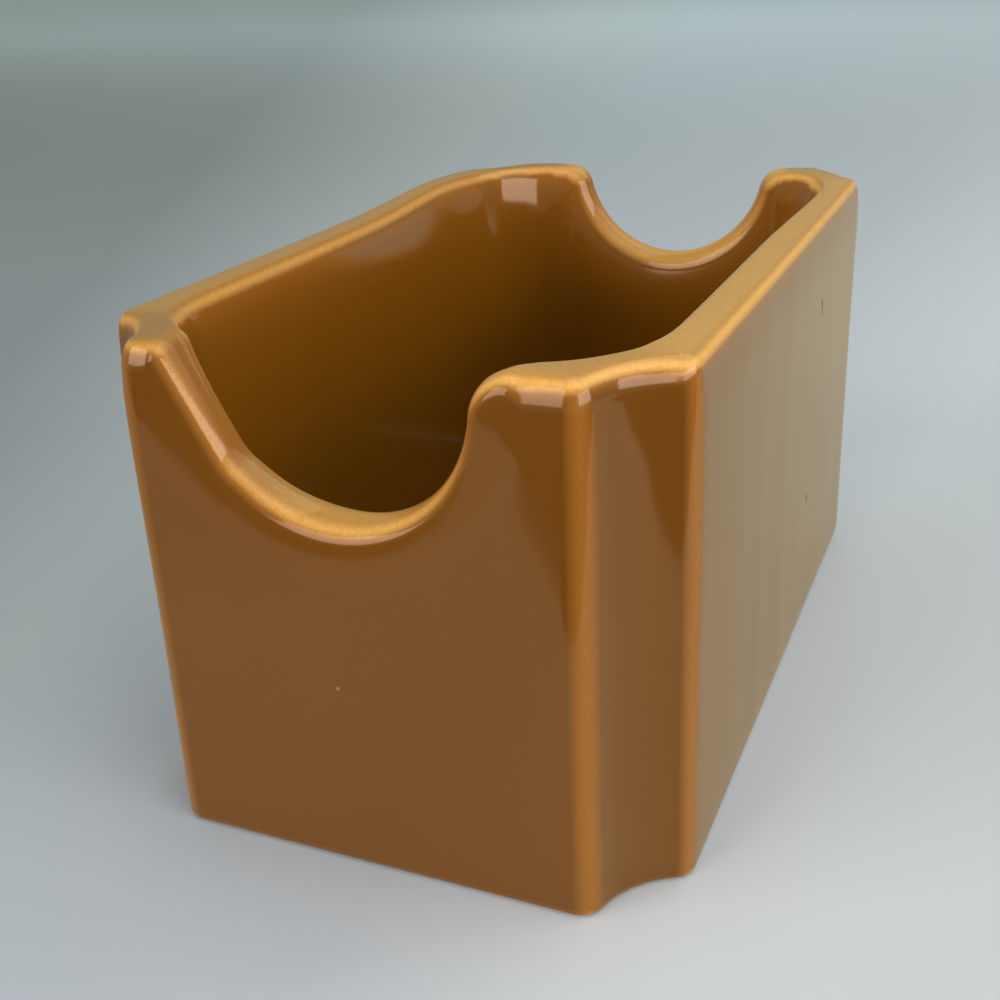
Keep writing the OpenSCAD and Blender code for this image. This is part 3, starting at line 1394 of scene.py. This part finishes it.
    def material(self, name: str) -> bpy.types.Material:
        """Makes the material.

        Args:
            name: Its name.

        Returns:
            The material.
        """
        material, bench = new_material(name)
        roughness, normal = self.surface(bench)
        bench.shade({
            "Base Color": self.colour(bench), "Roughness": roughness,
            "Normal": normal, "IOR": self.index, "Specular Tint": self.gloss_tint,
        })
        return material


@dataclass(frozen=True)
class BareClay:
    """Fired vitreous clay, fine and matt, a little stained along the glaze line."""

    body: Colour = (0.78, 0.7, 0.56)
    stain: Colour = (0.5, 0.36, 0.22)
    roughness: float = 0.72
    grit_span: float = 0.5 * MM
    grit_detail: float = 4.0
    grit_depth: float = 0.03 * MM
    grit_edge: Pair = (0.62, 0.72)
    grit_share: float = 0.35
    grit_gloss: float = 0.1
    cloud_span: float = 9 * MM
    cloud_edge: Pair = (0.35, 0.75)
    cloud_share: float = 0.3

    def material(self, name: str) -> bpy.types.Material:
        """Makes the material.

        Args:
            name: Its name.

        Returns:
            The material.
        """
        material, bench = new_material(name)
        grit = bench.grain(self.grit_span, self.grit_detail)
        cloud = bench.grain(self.cloud_span)
        tone = bench.mix(cloud.eased(*self.cloud_edge) * self.cloud_share, self.body, self.stain)
        tone = bench.mix(grit.eased(*self.grit_edge) * self.grit_share, tone, self.stain)
        bench.shade({
            "Base Color": tone, "Roughness": self.roughness - self.grit_gloss * grit,
            "Normal": bench.bump(grit, self.grit_depth),
        })
        return material


@dataclass
class GlazeCoat:
    """The caramel glaze over the outside, the rim and the cavity."""

    casting: Casting
    finish: CaramelGlaze = CaramelGlaze()

    def build(self) -> bpy.types.Object:
        """Builds the skin, with a lip that turns in to the clay where it is wiped off.

        Returns:
            The piece.
        """
        skin = self.casting.coated(0)
        lip = Skin()
        lip.add(self.casting.foot_ring(self.casting.glaze_stop, self.casting.glaze), 1.0)
        for ring, thin, pooled in zip(skin.rings, skin.thin, skin.pooled):
            lip.add(ring, thin, pooled)
        piece = lip.to_object("caramel_glaze", False, True)
        piece.data.materials.append(self.finish.material("caramel glaze"))
        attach(piece, ROOT)
        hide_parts("glaze_coat")
        return piece


@dataclass
class ClayBody:
    """The fired casting, which shows at the foot ring."""

    casting: Casting
    finish: BareClay = BareClay()

    def build(self) -> bpy.types.Object:
        """Builds the clay, whole, from the recess over the foot and under the glaze.

        Returns:
            The piece.
        """
        skin = self.casting.bare()
        under = self.casting.coated(self.casting.glaze)
        for ring in under.rings:
            skin.add(ring)
        piece = skin.to_object("clay_casting", True, True)
        piece.data.materials.append(self.finish.material("bare clay"))
        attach(piece, ROOT)
        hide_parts("clay_body")
        return piece


@dataclass
class UndersideGlaze:
    """The glazed patch inside the foot ring."""

    nodes: dict[str, bpy.types.Object]
    finish: CaramelGlaze = CaramelGlaze(roughness=0.12)

    def build(self) -> bpy.types.Object:
        """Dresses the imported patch, whose shape is right as it is.

        Returns:
            The piece.
        """
        piece = self.nodes["underside_glaze"]
        piece.data.materials.clear()
        piece.data.materials.append(self.finish.material("underside glaze"))
        return piece


@dataclass(frozen=True)
class Lamp:
    """A soft rectangular lamp that points at a target."""

    name: str
    place: Triple
    width: float
    height: float
    radiance: float
    colour: Colour = (1.0, 1.0, 1.0)
    target: Triple = (0.0, 0.0, 0.03)

    def build(self) -> bpy.types.Object:
        """Makes the lamp.

        Returns:
            The lamp.
        """
        data = bpy.data.lights.new(self.name, "AREA")
        data.shape = "RECTANGLE"
        data.size, data.size_y = self.width, self.height
        data.color = self.colour
        data.energy = self.radiance * math.pi * self.width * self.height
        lamp = linked(self.name, data)
        lamp.location = self.place
        way = Vector(self.target) - Vector(self.place)
        lamp.rotation_euler = way.to_track_quat("-Z", "Y").to_euler()
        return lamp


@dataclass(frozen=True)
class Studio:
    """Pale table with painted light and shade in its tones, and soft light round the holder."""

    table_span: float = 12.0
    table_gap: float = 0.04 * MM
    # Painted light and shade on the table: darker to the left, lighter to the right, and
    # lightened where the holder's shadow falls
    painted_light_tones: tuple[tuple[float, Colour], ...] = (
        (0.11, (0.22, 0.275, 0.295)), (0.33, (0.37, 0.44, 0.465)), (0.44, (0.4, 0.48, 0.53)),
        (0.67, (0.45, 0.525, 0.575)), (0.8, (0.57, 0.645, 0.68)), (0.95, (0.54, 0.61, 0.635)),
    )
    # Painted light and shade on the table: how the tones turn round a point before the table's
    # near edge, and fade towards it
    near_edge: float = -0.12
    near_fade: float = -0.7
    pivot: float = 0.25
    spread: float = 0.9
    turn_limits: Pair = (-0.56, 0.285)
    turn_middle: float = 0.667
    # Painted light: how much lighter the far part is, most of all where the tones turn least
    far_reach: Pair = (0.25, 1.5)
    far_lift: float = 1.8
    far_turn: float = 1.4
    table_roughness: float = 0.5
    # Black of the sheet that puts painted shade into the glaze's reflections
    dark: Colour = (0.01, 0.01, 0.01)
    world: Colour = (0.9, 0.96, 0.92)
    mirrored: Colour = (1.12, 1.01, 0.74)
    mirrored_sky: Colour = (0.6, 0.6, 0.45)
    world_strength: float = 0.45
    lamps: tuple[Lamp, ...] = (
        Lamp("overhead", (0.5, 0.15, 1.05), width=1.6, height=1.6, radiance=1.0),
        Lamp(
            "left window", (-0.466, -0.678, 0.37), width=0.7, height=0.56, radiance=4.0,
            colour=(1.0, 0.8, 0.76),
        ),
        Lamp(
            "right window", (0.8, -0.29, 0.31), width=0.84, height=0.36, radiance=5.2,
            colour=(1.0, 0.8, 0.77),
        ),
    )
    # Outline, seen from above, of the black sheet that puts painted shade into the glaze's
    # reflections
    room: tuple[Pair, ...] = (
        (-0.7, -0.165), (-0.039, -0.164), (0.004, -0.101), (0.08, -0.0915), (0.1, -0.083),
        (0.122, -0.077), (0.14, -0.066), (0.167, -0.044), (0.33, 0.054), (0.9, 0.054),
        (0.9, -0.9), (-0.7, -0.9),
    )

    def table(self) -> None:
        """Makes the table top, with painted light and shade in its tones."""
        half = self.table_span / 2
        z = -self.table_gap
        corners = [(-half, -half, z), (half, -half, z), (half, half, z), (-half, half, z)]
        material, bench = new_material("table top")
        inputs = {0: bench.place()}
        x, y = (bench.add("ShaderNodeSeparateXYZ", inputs=inputs, output=k) for k in "XY")
        turn = x / ((y.most(self.near_edge) + self.pivot) * self.spread)
        turn = turn.least(self.turn_limits[1]).most(self.turn_limits[0])
        turn = turn * y.eased(self.near_fade, self.near_edge) + self.turn_middle
        tone = bench.add("ShaderNodeValToRGB", {"stops": list(self.painted_light_tones)}, {"Fac": turn})
        far = y.eased(*self.far_reach)
        lift = 1 + far * (self.far_lift - self.far_turn * turn.least(1.0))
        inputs = {0: tone, "Scale": lift}
        tone = bench.add("ShaderNodeVectorMath", {"operation": "SCALE"}, inputs)
        glossy = bench.add("ShaderNodeLightPath", output="Is Glossy Ray")
        tone = bench.mix(glossy, tone, self.mirrored, "MULTIPLY")
        bench.shade({"Base Color": tone, "Roughness": self.table_roughness})
        self.sheet("table_top", corners, material)

    def sheet(
        self, name: str, outline: list[Triple], material: bpy.types.Material
    ) -> bpy.types.Object:
        """Makes one flat stage piece.

        Args:
            name: Its name.
            outline: Its corners.
            material: Its material.

        Returns:
            The piece.
        """
        mesh = bpy.data.meshes.new(name)
        mesh.from_pydata(outline, [], [tuple(range(len(outline)))])
        mesh.materials.append(material)
        piece = linked(name, mesh)
        piece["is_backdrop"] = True
        return piece

    def painted_shade_sheet(self) -> None:
        """Makes a black sheet before the table, seen in the glaze alone, as painted shade in its
        reflections.
        """
        material, bench = new_material("painted shade sheet")
        shader = bench.add("ShaderNodeBsdfDiffuse", inputs={"Color": self.dark})
        bench.add("ShaderNodeOutputMaterial", inputs={"Surface": shader})
        outline = [(x, y, MM) for x, y in self.room]
        sheet = self.sheet("painted_shade_sheet", outline, material)
        sheet.visible_camera = False
        sheet.visible_diffuse = False
        sheet.visible_shadow = False

    def sky(self) -> None:
        """Sets the even light of the room."""
        world = bpy.data.worlds.new("room")
        world.use_nodes = True
        bench = Bench(world.node_tree)
        glossy = bench.add("ShaderNodeLightPath", output="Is Glossy Ray")
        tone = bench.mix(glossy, self.world, self.mirrored_sky)
        inputs = {"Color": tone, "Strength": self.world_strength}
        light = bench.add("ShaderNodeBackground", inputs=inputs)
        bench.add("ShaderNodeOutputWorld", inputs={"Surface": light})
        bpy.context.scene.world = world

    def build(self) -> None:
        """Makes the table, the sheet of painted shade, the room's light, and the lamps."""
        self.table()
        self.painted_shade_sheet()
        self.sky()
        for lamp in self.lamps:
            lamp.build()
        bpy.context.scene.view_settings.view_transform = "Standard"


@dataclass(frozen=True)
class Viewpoint:
    """The camera, where the photograph was taken from."""

    place: Triple = (53.45 * MM, -137.73 * MM, 82.83 * MM)
    turn: Triple = (66.98, 2.706, 23.563)
    lens: float = 45.765
    shift: Pair = (0.0189, -0.0108)

    def build(self) -> bpy.types.Object:
        """Makes the camera and puts it to use.

        Returns:
            The camera.
        """
        data = bpy.data.cameras.new("camera")
        data.lens = self.lens
        data.shift_x, data.shift_y = self.shift
        data.clip_start = MM
        camera = linked("camera", data)
        camera.location = self.place
        camera.rotation_euler = Euler([math.radians(angle) for angle in self.turn])
        bpy.context.scene.camera = camera
        return camera


def main() -> None:
    """Builds the pieces in order and reports each."""
    logging.basicConfig(level=logging.INFO, format="%(name)s: %(message)s")
    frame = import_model()
    Viewpoint().build()
    casting = Casting.from_frame()
    parts = [GlazeCoat(casting), ClayBody(casting), UndersideGlaze(frame["nodes"])]
    for part in parts:
        piece = part.build()
        LOG.info("%s: %d points", piece.name, len(piece.data.vertices))
    Studio().build()


if __name__ == "__main__":
    main()
